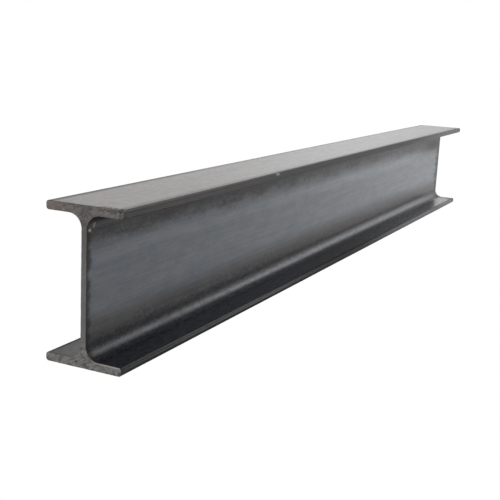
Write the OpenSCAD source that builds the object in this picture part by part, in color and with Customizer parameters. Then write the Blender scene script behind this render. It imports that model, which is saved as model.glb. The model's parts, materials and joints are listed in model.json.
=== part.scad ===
// Hot-rolled steel I-beam with parallel flanges, sawn square to a short length.
// X runs along the beam, Y across the flanges, Z up. The origin is the middle of
// the underside, so the beam stands on its lower flange at z = 0.

/* [Section] */
// Depth of the section, over both flanges
section_depth = 100; // [60:1:300]
// Width of each flange
flange_width = 55; // [40:1:150]
// Thickness of each flange
flange_thickness = 5.7; // [3:0.1:15]
// Thickness of the web
web_thickness = 4.1; // [2:0.1:10]

/* [Rounding] */
// Radius of the root fillets, where the web runs into the flanges
root_radius = 9; // [2:0.5:15]
// Radius of the rolled corners along the flange toes
toe_radius = 1.8; // [0.5:0.1:4]

/* [Length] */
// Sawn length of the beam
beam_length = 800; // [200:10:6000]

/* [Hidden] */

arc_sides = 96;

// Clear height between the flanges, and how far a flange stands out from the web.
clear_height = section_depth - 2 * flange_thickness;
outstand = (flange_width - web_thickness) / 2;

// A toe can't be rounder than a half circle, and the root fillets have to fit between
// the flanges and stop before the rounded toes.
toe_r = min(toe_radius, 0.45 * flange_thickness);
root_r = min(root_radius, 0.45 * clear_height, outstand - 2 * toe_r);

steel_grey = [0.42, 0.43, 0.44];

// A rectangle with round corners, centred on x = 0 and standing on y = 0.
module rounded_bar(width, height, radius) {
    translate([radius - width / 2, 0]) square([width - 2 * radius, height]);
    translate([-width / 2, radius]) square([width, height - 2 * radius]);
    for (x = [radius - width / 2, width / 2 - radius], y = [radius, height - radius])
        translate([x, y]) circle(r = radius, $fn = arc_sides);
}

// The clear bay on one side of the web: flat against the web and both flanges, and
// round where the root fillets are.
module side_bay() {
    bay_width = 4 * root_r;
    translate([web_thickness / 2 + bay_width / 2, flange_thickness])
        rounded_bar(bay_width, clear_height, root_r);
}

// The web with its four root fillets, reaching half way into each flange.
module filleted_web() {
    difference() {
        translate([-web_thickness / 2 - root_r, flange_thickness / 2])
            square([web_thickness + 2 * root_r, section_depth - flange_thickness]);
        side_bay();
        mirror([1, 0]) side_bay();
    }
}

// The whole section, with x across the flanges and y up the web.
module beam_section() {
    rounded_bar(flange_width, flange_thickness, toe_r);
    translate([0, section_depth - flange_thickness])
        rounded_bar(flange_width, flange_thickness, toe_r);
    filleted_web();
}

// The beam is rolled from one piece of steel, so it is a single extrusion of its
// section, turned to lie along X.
module i_beam() {
    color(steel_grey)
        rotate([90, 0, 90])
            linear_extrude(height = beam_length, center = true)
                beam_section();
}

i_beam();
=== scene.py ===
"""A short length of hot-rolled steel I-beam, sawn at both ends, in a white studio.

Everything is in metres in the CAD model's frame: X along the beam, Y across its
flanges, Z up from the underside. The camera looks along the beam from its low X end.
"""

import json
import math

import bpy
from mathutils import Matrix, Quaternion, Vector, geometry, noise


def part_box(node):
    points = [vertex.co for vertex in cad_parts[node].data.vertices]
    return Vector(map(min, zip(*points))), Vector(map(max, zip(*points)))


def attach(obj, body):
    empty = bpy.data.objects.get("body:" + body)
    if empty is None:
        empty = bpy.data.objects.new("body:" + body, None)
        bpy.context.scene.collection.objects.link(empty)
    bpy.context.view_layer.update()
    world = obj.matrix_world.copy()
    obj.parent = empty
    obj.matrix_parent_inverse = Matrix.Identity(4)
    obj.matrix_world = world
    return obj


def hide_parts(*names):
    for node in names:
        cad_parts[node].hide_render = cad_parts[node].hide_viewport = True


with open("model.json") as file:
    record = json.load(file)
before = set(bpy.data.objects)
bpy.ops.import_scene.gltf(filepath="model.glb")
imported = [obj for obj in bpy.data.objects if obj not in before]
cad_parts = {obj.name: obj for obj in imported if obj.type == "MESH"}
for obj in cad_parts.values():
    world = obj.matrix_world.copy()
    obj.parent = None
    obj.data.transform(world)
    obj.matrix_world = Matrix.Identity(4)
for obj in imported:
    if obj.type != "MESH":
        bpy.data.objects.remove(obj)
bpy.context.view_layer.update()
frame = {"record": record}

MM = 0.001

# The beam's section, as the CAD source has it. Length, width and depth come from
# the frame, and the web's thickness from its two mounted faces.
LOW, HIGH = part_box("i_beam")
DEPTH = HIGH.z - LOW.z
WIDTH = HIGH.y - LOW.y
MOUNTS = {m["name"]: m for m in frame["record"]["mounts"]}
WEB = MOUNTS["web_face_high_y"]["pos_m"][1] - MOUNTS["web_face_low_y"]["pos_m"][1]
FLANGE = 5.7 * MM
ROOT_RADIUS = 9 * MM
TOE_RADIUS = 1.8 * MM

# How finely the beam's mesh follows its section and its length.
EDGE_STEP = 0.8 * MM
ARC_STEP = 0.45 * MM
END_STEP = 0.1 * MM
MID_STEP = 10 * MM
STEP_GROWTH = 1.35
CAP_STEP = 0.6 * MM
CAP_EPSILON = 1e-7
TRIANGLES_INSIDE = 1

# Relief of the rolled skin: slow and quick waves, by their length and breadth.
SKIN_WAVE = 0.12 * MM
SLOW_WAVE = (90 * MM, 14 * MM)
QUICK_WAVE = (25 * MM, 6 * MM)
QUICK_SEED = 40

# Relief of the sawn ends: an uneven cut whose edge is worn round, torn notches in
# the top edge of the low X end, saw strokes across its foot, and one burr.
CUT_DEPTH = 0.5 * MM
CUT_FADE = 8 * MM
CUT_BROAD = 3.2 * MM
CUT_FINE = 1.5 * MM
CUT_SEEDS = {-1: 3.7, 1: 8.2}
RIM = 0.16 * MM
RIM_TEAR = 2.6 * MM
RIM_SEEDS = {-1: 1.9, 1: 6.4}
NOTCHES = 4
NOTCH_FIRST = -11.2 * MM
NOTCH_PITCH = 4.3 * MM
NOTCH_LENGTH = 3.0 * MM
NOTCH_WIDTH = 1.9 * MM
NOTCH_DEPTH = 0.5 * MM
NOTCH_DROP = 2.0 * MM
NOTCH_RUN = 6 * MM
NOTCH_ANGLE = math.radians(222)
NOTCH_RAGGED = 2 * MM
NOTCH_SEED = 1.3
STROKES = 4
STROKE_FIRST = Vector((7.5 * MM, 10.5 * MM))
STROKE_STEP = Vector((-1.1 * MM, -2.3 * MM))
STROKE_LENGTH = 6 * MM
STROKE_WIDTH = 0.8 * MM
STROKE_DEPTH = 0.35 * MM
STROKE_ANGLE = math.radians(-28)
BURR_AT = Vector((2.6 * MM, -WEB / 2, 85 * MM))
BURR_SIZE = 1.1 * MM
BURR_HEIGHT = 0.8 * MM

# Marks in the colour alone: the painted shade of a nick and a bare scrape beside the burr,
# and a bare knock on the upper toe. X runs from the low X end.
NICK_SHADE_AT = BURR_AT + Vector((-0.6 * MM, 0, 4 * MM))
SCRAPE_AT = Vector((7 * MM, -WEB / 2 - 0.5 * MM, 87.6 * MM))
KNOCK_AT = Vector((212 * MM, LOW.y, DEPTH - 1.2 * MM))


# --------------------------------------------------------------- section ---

def corner_points():
    """The section's twelve sharp corners, anticlockwise, each with its radius."""
    b, w, h, t = WIDTH / 2, WEB / 2, DEPTH, FLANGE
    toe, root = TOE_RADIUS, ROOT_RADIUS
    left = [(-b, h, toe), (-b, h - t, toe), (-w, h - t, root),
            (-w, t, root), (-b, t, toe), (-b, 0, toe)]
    return left + [(-y, h - z, r) for y, z, r in left]


def rounded_outline(corners, edge_step, arc_step):
    """Points (y, z, outward y, outward z) round a polygon with rounded corners."""
    quarter = math.pi / 2
    arcs = []
    for i, (y, z, radius) in enumerate(corners):
        here = Vector((y, z))
        back = (Vector(corners[i - 1][:2]) - here).normalized()
        on = (Vector(corners[(i + 1) % len(corners)][:2]) - here).normalized()
        centre = here + (back + on) * radius
        turn = 1 if (-back).x * on.y - (-back).y * on.x > 0 else -1
        arcs.append((here + back * radius, here + on * radius, centre, radius, turn))
    points = []
    for i, (start, stop, centre, radius, turn) in enumerate(arcs):
        first = math.atan2(start.y - centre.y, start.x - centre.x)
        count = max(4, math.ceil(radius * quarter / arc_step))
        for k in range(count):
            angle = first + turn * quarter * k / count
            out = Vector((math.cos(angle), math.sin(angle)))
            points.append((*(centre + out * radius), *(out * turn)))
        following = arcs[(i + 1) % len(arcs)][0]
        run = following - stop
        out = Vector((run.y, -run.x)).normalized()
        count = max(1, math.ceil(run.length / edge_step))
        for k in range(count):
            points.append((*(stop + run * (k / count)), *out))
    return points


def stations(low, high):
    """X values from low to high, close together at the ends and wider between."""
    offsets, gap = [0.0], END_STEP
    while gap < MID_STEP:
        offsets.append(offsets[-1] + gap)
        gap *= STEP_GROWTH
    length = high - low - 2 * offsets[-1]
    count = math.ceil(length / MID_STEP)
    middle = [low + offsets[-1] + length * k / count for k in range(1, count)]
    return [low + o for o in offsets] + middle + [high - o for o in reversed(offsets)]


# ---------------------------------------------------------------- relief ---

def lumps(x, y, z, size, seed):
    """Smooth noise from about -1 to 1, with lumps of the given size."""
    return noise.noise(Vector((x / size + seed, y / size - seed, z / size + 2 * seed)))


def groove(point, start, angle, length, width):
    """1 along the middle of a slanting groove, falling to 0 at its sides and ends."""
    aim = Vector((math.cos(angle), math.sin(angle)))
    offset = point - start
    along = offset.dot(aim)
    beyond = max(0.0, -along, along - length)
    aside = abs(offset.x * aim.y - offset.y * aim.x)
    reach = math.hypot(beyond, aside) / width
    return (1 - reach * reach) ** 2 if reach < 1 else 0.0


def skin_relief(x, y, z):
    """How far the rolled skin lies under its nominal face."""
    length, breadth = SLOW_WAVE
    slow = noise.noise(Vector((x / length, y / breadth, z / breadth)))
    length, breadth = QUICK_WAVE
    quick = noise.noise(Vector((x / length, y / breadth, z / breadth + QUICK_SEED)))
    return SKIN_WAVE * (0.5 + 0.38 * slow + 0.12 * quick)


def notch_relief(point):
    """Torn notches that run down and outwards from the top edge, 0 to 1."""
    deepest = 0.0
    for k in range(NOTCHES):
        start = Vector((NOTCH_FIRST - k * NOTCH_PITCH, DEPTH + 0.5 * NOTCH_WIDTH))
        length = NOTCH_LENGTH * (1 - 0.15 * k)
        deepest = max(deepest, groove(point, start, NOTCH_ANGLE, length, NOTCH_WIDTH))
    return deepest


def stroke_relief(point):
    """Parallel saw strokes across the foot of the web, 0 to 1."""
    return max(groove(point, STROKE_FIRST + STROKE_STEP * k, STROKE_ANGLE,
                      STROKE_LENGTH * (1 - 0.12 * k), STROKE_WIDTH)
               for k in range(STROKES))


def cut_relief(end, y, z):
    """How far the sawn face lies inside the beam's nominal end."""
    seed = CUT_SEEDS[end]
    tilt = 0.5 + 0.25 * (2 * y / WIDTH + 2 * z / DEPTH - 1)
    broad = 0.5 + 0.5 * lumps(0, y, z, CUT_BROAD, seed)
    fine = 0.5 + 0.5 * lumps(0, y, z, CUT_FINE, seed + 5)
    relief = CUT_DEPTH * (0.3 * tilt + 0.45 * broad + 0.25 * fine)
    if end < 0:
        point = Vector((y, z))
        ragged = 0.75 + 0.5 * lumps(0, y, z, NOTCH_RAGGED, NOTCH_SEED)
        relief += NOTCH_DEPTH * ragged * notch_relief(point)
        relief += STROKE_DEPTH * stroke_relief(point)
    return relief


def rim_radius(end, y, z):
    """The radius to which the edge of a sawn end is worn."""
    tear = max(0.0, lumps(0, y, z, RIM_TEAR, RIM_SEEDS[end]))
    return RIM * (0.8 + 1.6 * tear)


def rim_relief(radius, from_end):
    """How far a rim of that radius is drawn in from the skin, near the sawn end."""
    if from_end >= radius:
        return 0.0
    rise = 1 - from_end / radius
    return radius * (1 - math.sqrt(1 - rise * rise))


def notch_drop(end, from_end, y, z):
    """How far the torn notches draw the skin down, in a slope towards the low X end."""
    if end > 0 or from_end >= NOTCH_RUN:
        return 0.0
    return NOTCH_DROP * (1 - from_end / NOTCH_RUN) ** 2 * notch_relief(Vector((y, z)))


def burr(end, from_end, y, z):
    """Height of the one burr, which stands on the web's low Y side."""
    if end > 0 or y > 0:
        return 0.0
    away = (Vector((from_end, y, z)) - BURR_AT).length / BURR_SIZE
    return BURR_HEIGHT * (1 - away * away) if away < 1 else 0.0


# ------------------------------------------------------------------ mesh ---

def beam_mesh(name):
    """The beam's skin, as rings of the section along X, and a cap on each end."""
    outline = rounded_outline(corner_points(), EDGE_STEP, ARC_STEP)
    xs = stations(LOW.x, HIGH.x)
    ring = len(outline)
    verts, faces = [], []
    for x in xs:
        end = -1 if x < (LOW.x + HIGH.x) / 2 else 1
        from_end = min(x - LOW.x, HIGH.x - x)
        fade = max(0.0, 1 - from_end / CUT_FADE) ** 2
        for y, z, out_y, out_z in outline:
            sink = skin_relief(x, y, z)
            if fade > 0:
                sink += rim_relief(rim_radius(end, y, z), from_end)
                sink += notch_drop(end, from_end, y, z)
                sink -= burr(end, from_end, y, z)
            at = Vector((x, y - out_y * sink, z - out_z * sink))
            if fade > 0:
                at.x -= end * fade * cut_relief(end, at.y, at.z)
            verts.append(at)
    for i in range(len(xs) - 1):
        for k in range(ring):
            a, b = i * ring + k, i * ring + (k + 1) % ring
            faces.append((a, b, b + ring, a + ring))
    skin_faces = len(faces)
    for end, base in ((-1, 0), (1, (len(xs) - 1) * ring)):
        loop = [Vector((verts[base + k].y, verts[base + k].z)) for k in range(ring)]
        points, tris = cap_triangles(end, loop)
        x_end = LOW.x if end < 0 else HIGH.x
        index = [base + k for k in range(ring)]
        for p in points[ring:]:
            index.append(len(verts))
            verts.append(Vector((x_end - end * cut_relief(end, p.x, p.y), p.x, p.y)))
        for a, b, c in tris:
            tri = (index[a], index[b], index[c])
            faces.append(tri if end > 0 else tri[::-1])
    mesh = bpy.data.meshes.new(name)
    mesh.from_pydata([tuple(v) for v in verts], [], faces)
    for polygon in mesh.polygons:
        polygon.use_smooth = True
        polygon.material_index = 0 if polygon.index < skin_faces else 1
    mesh.update()
    return mesh


def cap_triangles(end, loop):
    """The loop filled with small triangles: (points, triangles), loop first."""
    inner = []
    rows = int(DEPTH / CAP_STEP)
    columns = int(WIDTH / CAP_STEP)
    for i in range(rows):
        for k in range(columns):
            y = LOW.y + (k + 0.5 + 0.5 * (i % 2)) * CAP_STEP
            z = LOW.z + (i + 0.5) * CAP_STEP
            margin = 0.5 * CAP_STEP + SKIN_WAVE + rim_radius(end, y, z)
            margin += notch_drop(end, 0.0, y, max(z, DEPTH - CAP_STEP))
            if inside_section(y, z, margin):
                inner.append(Vector((y, z)))
    outline = list(range(len(loop)))
    points, _, tris, _, _, _ = geometry.delaunay_2d_cdt(
        loop + inner, [], [outline], TRIANGLES_INSIDE, CAP_EPSILON)
    return points, tris


def inside_section(y, z, margin):
    """True where (y, z) is in the steel, margin or more from its faces, off the toes."""
    y, z = abs(y), min(z, DEPTH - z)
    if y > WIDTH / 2 - margin or z < margin:
        return False
    if z < FLANGE - margin:
        corner = y > WIDTH / 2 - TOE_RADIUS and not TOE_RADIUS < z < FLANGE - TOE_RADIUS
        return not corner
    if y < WEB / 2 - margin:
        return True
    reach = Vector((y - WEB / 2 - ROOT_RADIUS, z - FLANGE - ROOT_RADIUS))
    return reach.x < 0 and reach.y < 0 and reach.length > ROOT_RADIUS + margin


# ------------------------------------------------------------- materials ---

def mm(*sizes):
    """A tuple of sizes in metres, from millimetres."""
    return tuple(size * MM for size in sizes)


class Graph:
    """Short names for the shader nodes that the materials share."""

    def __init__(self, tree):
        self.tree = tree
        self.tree.nodes.clear()

    def node(self, kind, **settings):
        made = self.tree.nodes.new(kind)
        for key, value in settings.items():
            setattr(made, key, value)
        return made

    def link(self, value, socket):
        if isinstance(value, bpy.types.NodeSocket):
            self.tree.links.new(value, socket)
        else:
            socket.default_value = value

    def coords(self):
        return self.node("ShaderNodeTexCoord").outputs["Object"]

    def xyz(self):
        made = self.node("ShaderNodeSeparateXYZ")
        self.link(self.coords(), made.inputs[0])
        return made.outputs

    def math(self, operation, *values):
        made = self.node("ShaderNodeMath", operation=operation)
        for value, socket in zip(values, made.inputs):
            self.link(value, socket)
        return made.outputs[0]

    def product(self, first, *others):
        for other in others:
            first = self.math("MULTIPLY", first, other)
        return first

    def largest(self, first, *others):
        for other in others:
            first = self.math("MAXIMUM", first, other)
        return first

    def noise(self, scale, detail=3.0, roughness=0.55, turn=(0, 0, 0)):
        """Noise from 0 to 1, whose lumps are as long as scale along X, Y and Z."""
        placed = self.node("ShaderNodeMapping", vector_type="TEXTURE")
        placed.inputs["Scale"].default_value = scale
        placed.inputs["Rotation"].default_value = turn
        self.link(self.coords(), placed.inputs["Vector"])
        made = self.node("ShaderNodeTexNoise")
        self.link(placed.outputs[0], made.inputs["Vector"])
        made.inputs["Scale"].default_value = 1.0
        made.inputs["Detail"].default_value = detail
        made.inputs["Roughness"].default_value = roughness
        return made.outputs["Fac"]

    def ramp(self, value, low, high, to_low=0.0, to_high=1.0):
        """value from low..high spread smoothly over to_low..to_high."""
        made = self.node("ShaderNodeMapRange", interpolation_type="SMOOTHSTEP")
        self.link(value, made.inputs["Value"])
        for name, number in (("From Min", low), ("From Max", high),
                             ("To Min", to_low), ("To Max", to_high)):
            made.inputs[name].default_value = number
        return made.outputs["Result"]

    def bell(self, value, middle, reach):
        """1 where value is at the middle, falling smoothly to 0 at its reach."""
        away = self.math("ABSOLUTE", self.math("SUBTRACT", value, middle))
        return self.ramp(away, 0.0, reach, 1.0, 0.0)

    def band(self, value, rise, fall):
        """1 between rise and fall, each of them a pair (start, stop), and 0 outside."""
        return self.product(self.ramp(value, *rise), self.ramp(value, *fall, 1.0, 0.0))

    def mix(self, amount, a, b):
        """A number that goes from a to b as amount goes from 0 to 1."""
        return self.math("MULTIPLY_ADD", amount, self.math("SUBTRACT", b, a), a)

    def fade(self, amount, factor):
        """A factor that is 1 where amount is 0, and the one given where it is 1."""
        return self.mix(amount, 1.0, factor)

    def blend(self, amount, a, b, kind="MIX"):
        made = self.node("ShaderNodeMix", data_type="RGBA", blend_type=kind)
        self.link(amount, made.inputs["Factor"])
        self.link(a, made.inputs["A"])
        self.link(b, made.inputs["B"])
        return made.outputs["Result"]

    def bump(self, height, distance, strength, normal=None):
        made = self.node("ShaderNodeBump")
        self.link(height, made.inputs["Height"])
        made.inputs["Distance"].default_value = distance
        made.inputs["Strength"].default_value = strength
        if normal is not None:
            self.link(normal, made.inputs["Normal"])
        return made.outputs[0]

    def surface(self, color, roughness, normal, metallic=1.0, specular=0.5):
        shader = self.node("ShaderNodeBsdfPrincipled")
        shader.inputs["Specular IOR Level"].default_value = specular
        self.link(metallic, shader.inputs["Metallic"])
        self.link(color, shader.inputs["Base Color"])
        self.link(roughness, shader.inputs["Roughness"])
        self.link(normal, shader.inputs["Normal"])
        out = self.node("ShaderNodeOutputMaterial")
        self.link(shader.outputs[0], out.inputs["Surface"])


def new_graph(name):
    material = bpy.data.materials.new(name)
    material.use_nodes = True
    return material, Graph(material.node_tree)


# Colours of the rolled skin, with its painted sheen and shade, of what lies on it, and of
# sawn and bare steel, which also gives painted glints.
BLUE_SCALE = (0.118, 0.133, 0.147, 1)
VIOLET_SCALE = (0.130, 0.134, 0.146, 1)
NIGHT_SCALE = (0.112, 0.127, 0.170, 1)
BROWN_SCALE = (0.146, 0.139, 0.139, 1)
# The top's colours, lighter partly as a painted sheen, rusty towards the low X end.
TOP_SCALE_AND_SHEEN = (0.190, 0.190, 0.198, 1)
RUSTY_SCALE = (0.203, 0.188, 0.180, 1)
# Dull brown of the painted shade under the upper flange and along the top's low Y edge.
DULL_SCALE_IN_SHADE = (0.060, 0.055, 0.057, 1)
# Dark of the painted shade and of the darker marks.
DARK_SHADE_AND_MARKS = (0.040, 0.037, 0.036, 1)
SAWN = (0.485, 0.482, 0.472, 1)
SAWN_DARK = (0.14, 0.13, 0.125, 1)
SAWN_WARM = (0.415, 0.363, 0.336, 1)
# Bare steel, as bright as a painted glint.
BARE_AND_GLINT = (0.9, 0.89, 0.87, 1)

# The heights over which the lower flange gives way to its root, and the root to the web.
FLANGE_TOP = (0.056 * DEPTH, 0.068 * DEPTH)
ROOT_TOP = (0.13 * DEPTH, 0.155 * DEPTH)

# Darker patches: the middle in metres along X and as a share of the depth, the
# reach in the same way, and how dark each is.
DARK_PATCHES = (
    (0.375, 0.78, 0.10, 0.15, 1.0),
    (0.24, 0.745, 0.22, 0.07, 0.12),
    (0.37, 0.19, 0.13, 0.10, 0.45),
    (0.41, 0.13, 0.16, 0.07, 0.6),
)

# Bare metal, with a painted glint on the burr: where, how far it reaches along X, Y and Z,
# and how bright it is.
BARE_SPOTS = (
    (BURR_AT, mm(1.6, 1.6, 1.4), 0.8),
    (SCRAPE_AT, mm(1.8, 3, 3.2), 0.2),
    (KNOCK_AT, mm(5, 3, 1.4), 0.4),
)


def painted_light_bands(g, along, across, height):
    """Lengthwise bands of painted light and shade, as a factor on the skin's colour."""
    # Painted light on the middle of the web, growing towards the high X end, and along a
    # band above its middle; a painted highlight in its lower root and painted light just
    # above that, with painted shade in the crease between the last two.
    mid_web = g.band(height, (0.24 * DEPTH, 0.36 * DEPTH), (0.70 * DEPTH, 0.80 * DEPTH))
    upper_web_light = g.product(g.bell(height, 0.67 * DEPTH, 0.07 * DEPTH),
                      g.ramp(along, -0.2, 0.05, 0.2, 0.42),
                      g.ramp(along, 0.2, 0.32, 1.0, 0.0))
    # The painted highlight along the lower root.
    root = g.product(g.bell(height, 0.091 * DEPTH, 0.034 * DEPTH),
                     g.band(along, (-0.36, -0.12), (0.25, 0.45)))
    crease_shade = g.product(g.bell(height, 0.14 * DEPTH, 0.025 * DEPTH),
                       g.ramp(along, 0.0, 0.4, -0.13, -0.35))
    heel_light = g.product(g.bell(height, 0.18 * DEPTH, 0.035 * DEPTH),
                     g.ramp(along, -0.38, -0.25))
    shade = g.math("MULTIPLY_ADD", mid_web, g.ramp(along, -0.2, 0.3, 0.39, 0.75), 1.0)
    shade = g.math("ADD", shade, upper_web_light)
    shade = g.math("MULTIPLY_ADD", root, 0.45, shade)
    shade = g.math("MULTIPLY_ADD", heel_light, 0.18, g.math("ADD", shade, crease_shade))

    # Painted shade on the lower flange and in its root; on the flange it gives way to
    # painted light towards the high X end, with a strip of painted light along its low Y
    # side.
    shaded_flange = g.ramp(height, *FLANGE_TOP, 1.0, 0.0)
    hollow_shade = g.band(height, FLANGE_TOP, ROOT_TOP)
    lit_strip = g.product(shaded_flange, g.ramp(across, LOW.y + 3 * MM, LOW.y + 11 * MM, 1.0, 0.0),
                      g.band(along, (0.0, 0.12), (0.25, 0.31)))
    return g.product(shade,
                     g.fade(shaded_flange, g.ramp(along, -0.03, 0.28, 0.43, 1.35)),
                     g.fade(hollow_shade, g.ramp(along, -0.35, 0.0, 0.74, 0.87)),
                     g.fade(lit_strip, 1.35))


def dark_patches(g, along, height):
    """Darker patches near the high X end, at the web's top and foot and in the lower root.
    """
    darkness = 0.0
    for x, z, reach_x, reach_z, depth in DARK_PATCHES:
        dark_patch = g.product(g.bell(along, x, reach_x),
                           g.bell(height, z * DEPTH, reach_z * DEPTH))
        darkness = g.math("MULTIPLY_ADD", dark_patch, depth, darkness)
    return darkness


def toe_darkening(g, toe, along, across, height):
    """How dark the toes are: the lower ones, a painted dark reflection, more than the upper
    ones, and less towards the high X end. On the low Y side the lower one is lighter near
    the low X end, above its middle, a painted highlight."""
    toe_rim_highlight = g.product(g.ramp(height, 0.35 * FLANGE, 0.6 * FLANGE),
                     g.ramp(across, -WEB, WEB, 1.0, 0.0))
    lower = g.product(g.fade(toe_rim_highlight, g.ramp(along, -0.23, 0.02, 0.0, 0.72)),
                      g.ramp(along, -0.15, 0.18, 1.0, 0.34),
                      g.ramp(along, 0.24, 0.4, 1.0, 0.4),
                      g.ramp(along, -0.42, -0.38))
    upper = g.product(g.band(along, (-0.34, -0.1), (0.1, 0.36)), 0.18)
    return g.product(toe, g.mix(g.ramp(height, 0.4 * DEPTH, 0.6 * DEPTH), lower, upper))


def spot(g, place, point, reaches):
    """1 at a point, given from the low X end, falling to 0 at its reach on each axis."""
    middles = (LOW.x + point.x, point.y, point.z)
    return g.product(*(g.bell(value, middle, reach)
                       for value, middle, reach in zip(place, middles, reaches)))


def mill_scale():
    """Rolled skin: blue-grey oxide with lengthwise bands of painted light and shade, a
    painted sheen on top, brown at its lower root and dull brown painted shade at its upper
    one.
    """
    material, g = new_graph("mill_scale_steel")
    place = g.xyz()
    along, across, height = place
    patches = g.noise(mm(50, 16, 16), 3.0)
    mottle = g.noise(mm(20, 7, 7), 4.0, 0.6)
    streaks = g.noise(mm(90, 2.2, 2.2), 3.0, 0.5)
    flecks = g.noise(mm(6, 3, 3), 2.0, 0.6)
    speckle = g.noise(mm(1.6, 1.2, 1.2), 2.0, 0.6)

    # Heights with a ragged edge, and masks of the toes, the top and the painted shade
    # under the upper flange.
    wander = g.math("ADD", g.ramp(patches, 0.3, 0.7, *mm(-3, 3)),
                    g.ramp(flecks, 0.3, 0.7, *mm(-3, 3)))
    level = g.math("ADD", height, wander)
    toe = g.ramp(g.math("ABSOLUTE", across), HIGH.y - 3.4 * MM, HIGH.y - 1.4 * MM)
    top = g.ramp(height, DEPTH - 0.7 * FLANGE, DEPTH - 0.4 * FLANGE)
    under_flange_shade = g.product(g.ramp(level, 0.72 * DEPTH, 0.86 * DEPTH, 0.0, 0.95),
                          g.math("SUBTRACT", 1.0, top))

    # Colour: blue-grey, brown at the web's foot and bluer on the lower flange near
    # the low X end; lighter on top, partly a painted sheen, where it is rusty towards the
    # low X end; dull brown painted shade under the upper flange and along the low Y edge of
    # the top.
    color = g.blend(g.ramp(mottle, 0.3, 0.7), BLUE_SCALE, VIOLET_SCALE)
    brown = g.product(g.ramp(level, 0.13 * DEPTH, 0.17 * DEPTH, 0.4, 1.0),
                      g.ramp(level, 0.22 * DEPTH, 0.31 * DEPTH, 1.0, 0.0))
    color = g.blend(brown, color, BROWN_SCALE)
    night = g.product(g.ramp(height, 0.058 * DEPTH, 0.072 * DEPTH, 1.0, 0.0),
                      g.ramp(along, -0.2, 0.1, 1.0, 0.0),
                      g.ramp(across, -WEB, WEB, 1.0, 0.0),
                      g.fade(toe, 0.0))
    color = g.blend(night, color, NIGHT_SCALE)
    rusty = g.ramp(g.math("MULTIPLY_ADD", patches, -0.5, along), -0.65, -0.15, 1.0, 0.0)
    color = g.blend(top, color, g.blend(rusty, TOP_SCALE_AND_SHEEN, RUSTY_SCALE))
    color = g.blend(under_flange_shade, color, DULL_SCALE_IN_SHADE)
    top_edge_shade = g.product(g.ramp(across, LOW.y + 2.5 * MM, LOW.y + 8.5 * MM, 1.0, 0.0), top,
                     g.ramp(along, -0.35, 0.25, 0.8, 1.0))
    color = g.blend(top_edge_shade, color, DULL_SCALE_IN_SHADE)

    # Grain: strongest on the lower flange, weaker under the upper flange and on the toes,
    # and hardly any in the middle of the web.
    mid_web = g.band(level, (0.16 * DEPTH, 0.26 * DEPTH), (0.70 * DEPTH, 0.80 * DEPTH))
    coarse = g.ramp(height, 0.057 * DEPTH, 0.068 * DEPTH, 1.0, 0.3)
    coarse = g.mix(under_flange_shade, coarse, g.ramp(along, -0.3, -0.1, 0.26, 0.18))
    coarse = g.product(g.mix(mid_web, coarse, 0.07), g.fade(toe, 0.2))
    shade = g.math("ADD", g.ramp(mottle, 0.25, 0.75, 0.94, 1.06),
                   g.ramp(streaks, 0.25, 0.75, -0.08, 0.08))
    shade = g.math("MULTIPLY_ADD", g.ramp(speckle, 0.25, 0.75, -1.0, 1.0), coarse, shade)
    shade = g.math("MULTIPLY_ADD", g.ramp(flecks, 0.25, 0.75, -0.6, 0.6), coarse, shade)
    # How deep the painted shade under the upper flange is along X: a little lighter at the
    # very low X end, darker beyond.
    under_flange_shade_along = g.ramp(along, -0.36, -0.27, 1.1, 0.72)
    shade = g.product(shade, painted_light_bands(g, along, across, height), g.fade(under_flange_shade, under_flange_shade_along))
    color = g.blend(1.0, color, shade, "MULTIPLY")

    # Painted shade and darker marks: a painted dark reflection on the toes, darker patches,
    # darker beside the cuts, further in at the high X end and hardly on top, painted shade
    # along the high Y edges, darker on the lower flange behind the web, and the painted
    # shade of a nick.
    toes = toe_darkening(g, toe, along, across, height)
    from_end = g.math("SUBTRACT", (HIGH.x - LOW.x) / 2, g.math("ABSOLUTE", along))
    from_end = g.product(from_end, g.ramp(along, -0.1, 0.1, 1.0, 0.26))
    end_darkening = g.math("ADD", from_end, g.ramp(mottle, 0.3, 0.7, *mm(-2, 2)))
    end_darkening = g.product(g.ramp(end_darkening, *mm(0.5, 5.5), 0.85, 0.0), g.fade(top, 0.25))
    # Painted shade along the high Y edges, deepest near the low X end.
    back = g.product(g.ramp(across, HIGH.y - 7.5 * MM, HIGH.y - 3.5 * MM),
                     g.ramp(along, -0.38, -0.12, 0.95, 0.35))
    low = g.product(g.ramp(height, 0.06 * DEPTH, 0.15 * DEPTH, 1.0, 0.0),
                    g.ramp(across, WIDTH / 4, 0.47 * WIDTH, 0.45, 0.8),
                    g.ramp(across, 0.0, WEB / 2),
                    g.ramp(mottle, 0.3, 0.7, 1.25, 0.65))
    nick_shade = spot(g, place, NICK_SHADE_AT, mm(4.5, 5, 4.5))
    shade_and_marks = g.largest(toes, end_darkening, dark_patches(g, along, height), back, low, nick_shade)
    color = g.blend(shade_and_marks, color, DARK_SHADE_AND_MARKS)
    for point, reaches, amount in BARE_SPOTS:
        bare = g.product(spot(g, place, point, reaches), amount)
        color = g.blend(bare, color, BARE_AND_GLINT)

    roughness = g.mix(toes, g.ramp(speckle, 0.25, 0.75, 0.32, 0.42), 0.85)
    metallic = g.product(g.fade(shade_and_marks, 0.2), g.fade(under_flange_shade, 0.75), g.fade(top_edge_shade, 0.75),
                         g.fade(toes, 0.15))
    normal = g.bump(speckle, 0.1 * MM, 0.25)
    normal = g.bump(mottle, 0.3 * MM, 0.2, normal)
    g.surface(color, roughness, normal, metallic, 0.1)
    return material


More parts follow.
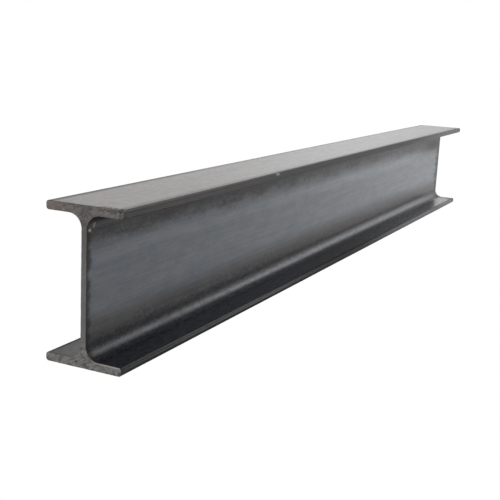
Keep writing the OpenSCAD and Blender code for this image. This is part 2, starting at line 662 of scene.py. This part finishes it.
def sawn_steel():
    """Sawn ends: bare grey steel, mottled by the cut, smoother across the web."""
    material, g = new_graph("sawn_steel")
    _, across, height = g.xyz()
    mottle = g.noise(mm(3, 3, 3), 4.0, 0.62)
    warm = g.noise(mm(12, 12, 12), 3.0, 0.6)
    strokes = g.noise(mm(1, 6, 0.9), 3.0, 0.6, (STROKE_ANGLE, 0, 0))
    web = g.band(height, (0.12 * DEPTH, 0.17 * DEPTH), (0.83 * DEPTH, 0.88 * DEPTH))

    # Rust-warm patches, pits and slanting cuts.
    rusty = g.product(g.ramp(warm, 0.35, 0.55), g.ramp(height, 0, DEPTH, 0.25, 1.0),
                      g.fade(web, 0.1))
    color = g.blend(rusty, SAWN, SAWN_WARM)
    pits = g.product(g.ramp(mottle, 0.56, 0.36, 0.0, 0.75), g.fade(web, 0.25))
    color = g.blend(pits, color, SAWN_DARK)
    cuts = g.product(g.ramp(strokes, 0.60, 0.38, 0.0, 0.5), g.fade(web, 0.3),
                     g.ramp(g.math("ABSOLUTE", across), *mm(9, 15), 1.0, 0.5))
    color = g.blend(cuts, color, SAWN_DARK)

    # Darker on the web and over most of the upper flange, with a painted highlight on a
    # burnished rim along the top of the lower flange on its low Y side.
    dim = g.product(web, g.ramp(height, 0.55 * DEPTH, 0.8 * DEPTH, 0.44, 0.62))
    head = g.largest(g.bell(across, 0.0, WIDTH / 4),
                     g.ramp(across, -0.1 * WIDTH, -0.3 * WIDTH, 0.0, 0.55))
    head = g.product(head, g.ramp(height, 0.82 * DEPTH, 0.87 * DEPTH, 0.0, 0.35))
    color = g.blend(g.largest(dim, head), color, SAWN_DARK)
    face_rim_highlight = g.product(g.bell(height, FLANGE - 0.5 * MM, 0.9 * MM),
                    g.ramp(across, -WEB, -0.3 * WIDTH, 0.0, 0.6))
    color = g.blend(face_rim_highlight, color, BARE_AND_GLINT)
    roughness = g.ramp(mottle, 0.3, 0.7, 0.42, 0.6)
    normal = g.bump(strokes, 0.3 * MM, 0.4)
    normal = g.bump(mottle, 0.6 * MM, 0.4, normal)
    g.surface(color, roughness, normal)
    return material


def white_card(name, strength):
    """Plain white light from a card's face, with nothing seen from its back."""
    material, g = new_graph(name)
    shader = g.node("ShaderNodeEmission")
    shader.inputs["Color"].default_value = (1, 1, 1, 1)
    shader.inputs["Strength"].default_value = strength
    sided = g.node("ShaderNodeMixShader")
    g.link(g.node("ShaderNodeNewGeometry").outputs["Backfacing"], sided.inputs["Fac"])
    g.link(shader.outputs[0], sided.inputs[1])
    g.link(g.node("ShaderNodeBsdfTransparent").outputs[0], sided.inputs[2])
    out = g.node("ShaderNodeOutputMaterial")
    g.link(sided.outputs[0], out.inputs["Surface"])
    return material


# ----------------------------------------------------------------- scene ---

def link_object(name, data):
    made = bpy.data.objects.new(name, data)
    bpy.context.scene.collection.objects.link(made)
    return made


def make_beam():
    mesh = beam_mesh("rolled_beam")
    mesh.materials.append(mill_scale())
    mesh.materials.append(sawn_steel())
    beam = link_object("rolled_beam", mesh)
    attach(beam, "root")
    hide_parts("i_beam")


def aim(azimuth, elevation):
    """Unit vector at an azimuth from +X towards +Y and an elevation, in degrees."""
    a, e = math.radians(azimuth), math.radians(elevation)
    return Vector((math.cos(a) * math.cos(e), math.sin(a) * math.cos(e), math.sin(e)))


# The camera stands near the low X end, on the low Y side and above the beam.
CAMERA_AT = (LOW.x - 0.43155, -0.31299, 0.1952)
CAMERA_AZIMUTH = 25.4575
CAMERA_ELEVATION = -12.578
CAMERA_ROLL = 2.846
CAMERA_LENS = 66.29
CLIP_START = 0.01


def make_camera():
    data = bpy.data.cameras.new("camera")
    data.lens = CAMERA_LENS
    data.clip_start = CLIP_START
    camera = link_object("camera", data)
    camera.location = CAMERA_AT
    level = aim(CAMERA_AZIMUTH, CAMERA_ELEVATION).to_track_quat("-Z", "Y")
    camera.rotation_mode = "QUATERNION"
    camera.rotation_quaternion = level @ Quaternion((0, 0, 1), math.radians(CAMERA_ROLL))
    bpy.context.scene.camera = camera


# Soft white cards round the beam, as the steel mirrors them: the direction of each
# (azimuth, elevation), how tightly it is gathered, and its brightness.
CARDS = {
    "far_backdrop": (-8, 3, 40, 2.3),
    "far_backdrop_left": (17, 10, 60, 2.42),
    "side_wall": (36, 19, 36, 1.6),
    "floor_beyond": (-14, -20, 40, 1.95),
    "floor_before": (-53, -20, 40, 1.35),
    "softbox": (-28, 28, 40, 2.4),
    "skylight": (28, 58, 12, 1.0),
    "ceiling": (0, 90, 4, 0.4),
    "behind_camera": (150, -5, 4, 0.6),
    "behind_right": (-135, 22, 6, 0.45),
    "left_fill": (80, -20, 6, 0.85),
    "right_fill": (-110, 0, 8, 1.2),
}
ROOM_LIGHT = 0.12

# The backdrop, in metres.
DOME_RADIUS = 30
FLOOR_SIZE = 12
BACKDROP_LIGHT = 1.0


def make_world():
    """The light of the room and of its cards, each a lobe round its own direction."""
    world = bpy.data.worlds.new("studio")
    bpy.context.scene.world = world
    world.use_nodes = True
    g = Graph(world.node_tree)
    seen = g.node("ShaderNodeTexCoord").outputs["Generated"]
    light = ROOM_LIGHT
    for azimuth, elevation, tightness, strength in CARDS.values():
        facing = g.node("ShaderNodeVectorMath", operation="DOT_PRODUCT")
        g.link(seen, facing.inputs[0])
        facing.inputs[1].default_value = aim(azimuth, elevation)
        lobe = g.math("POWER", g.math("MAXIMUM", facing.outputs["Value"], 0.0), tightness)
        light = g.math("MULTIPLY_ADD", lobe, strength, light)
    sky = g.node("ShaderNodeBackground")
    g.link(light, sky.inputs["Strength"])
    out = g.node("ShaderNodeOutputWorld")
    g.link(sky.outputs[0], out.inputs["Surface"])


def make_backdrop():
    """A white floor and dome that only the camera sees."""
    bpy.context.scene.view_settings.view_transform = "Standard"
    bpy.ops.mesh.primitive_uv_sphere_add(segments=32, ring_count=16, radius=DOME_RADIUS)
    dome = bpy.context.object
    dome.name = "backdrop"
    dome.data.flip_normals()
    bpy.ops.mesh.primitive_plane_add(size=FLOOR_SIZE)
    floor = bpy.context.object
    floor.name = "floor"
    for stage in (dome, floor):
        stage.data.materials.append(white_card(stage.name, BACKDROP_LIGHT))
        stage.visible_diffuse = False
        stage.visible_glossy = False
        stage.visible_shadow = False


make_beam()
make_camera()
make_world()
make_backdrop()
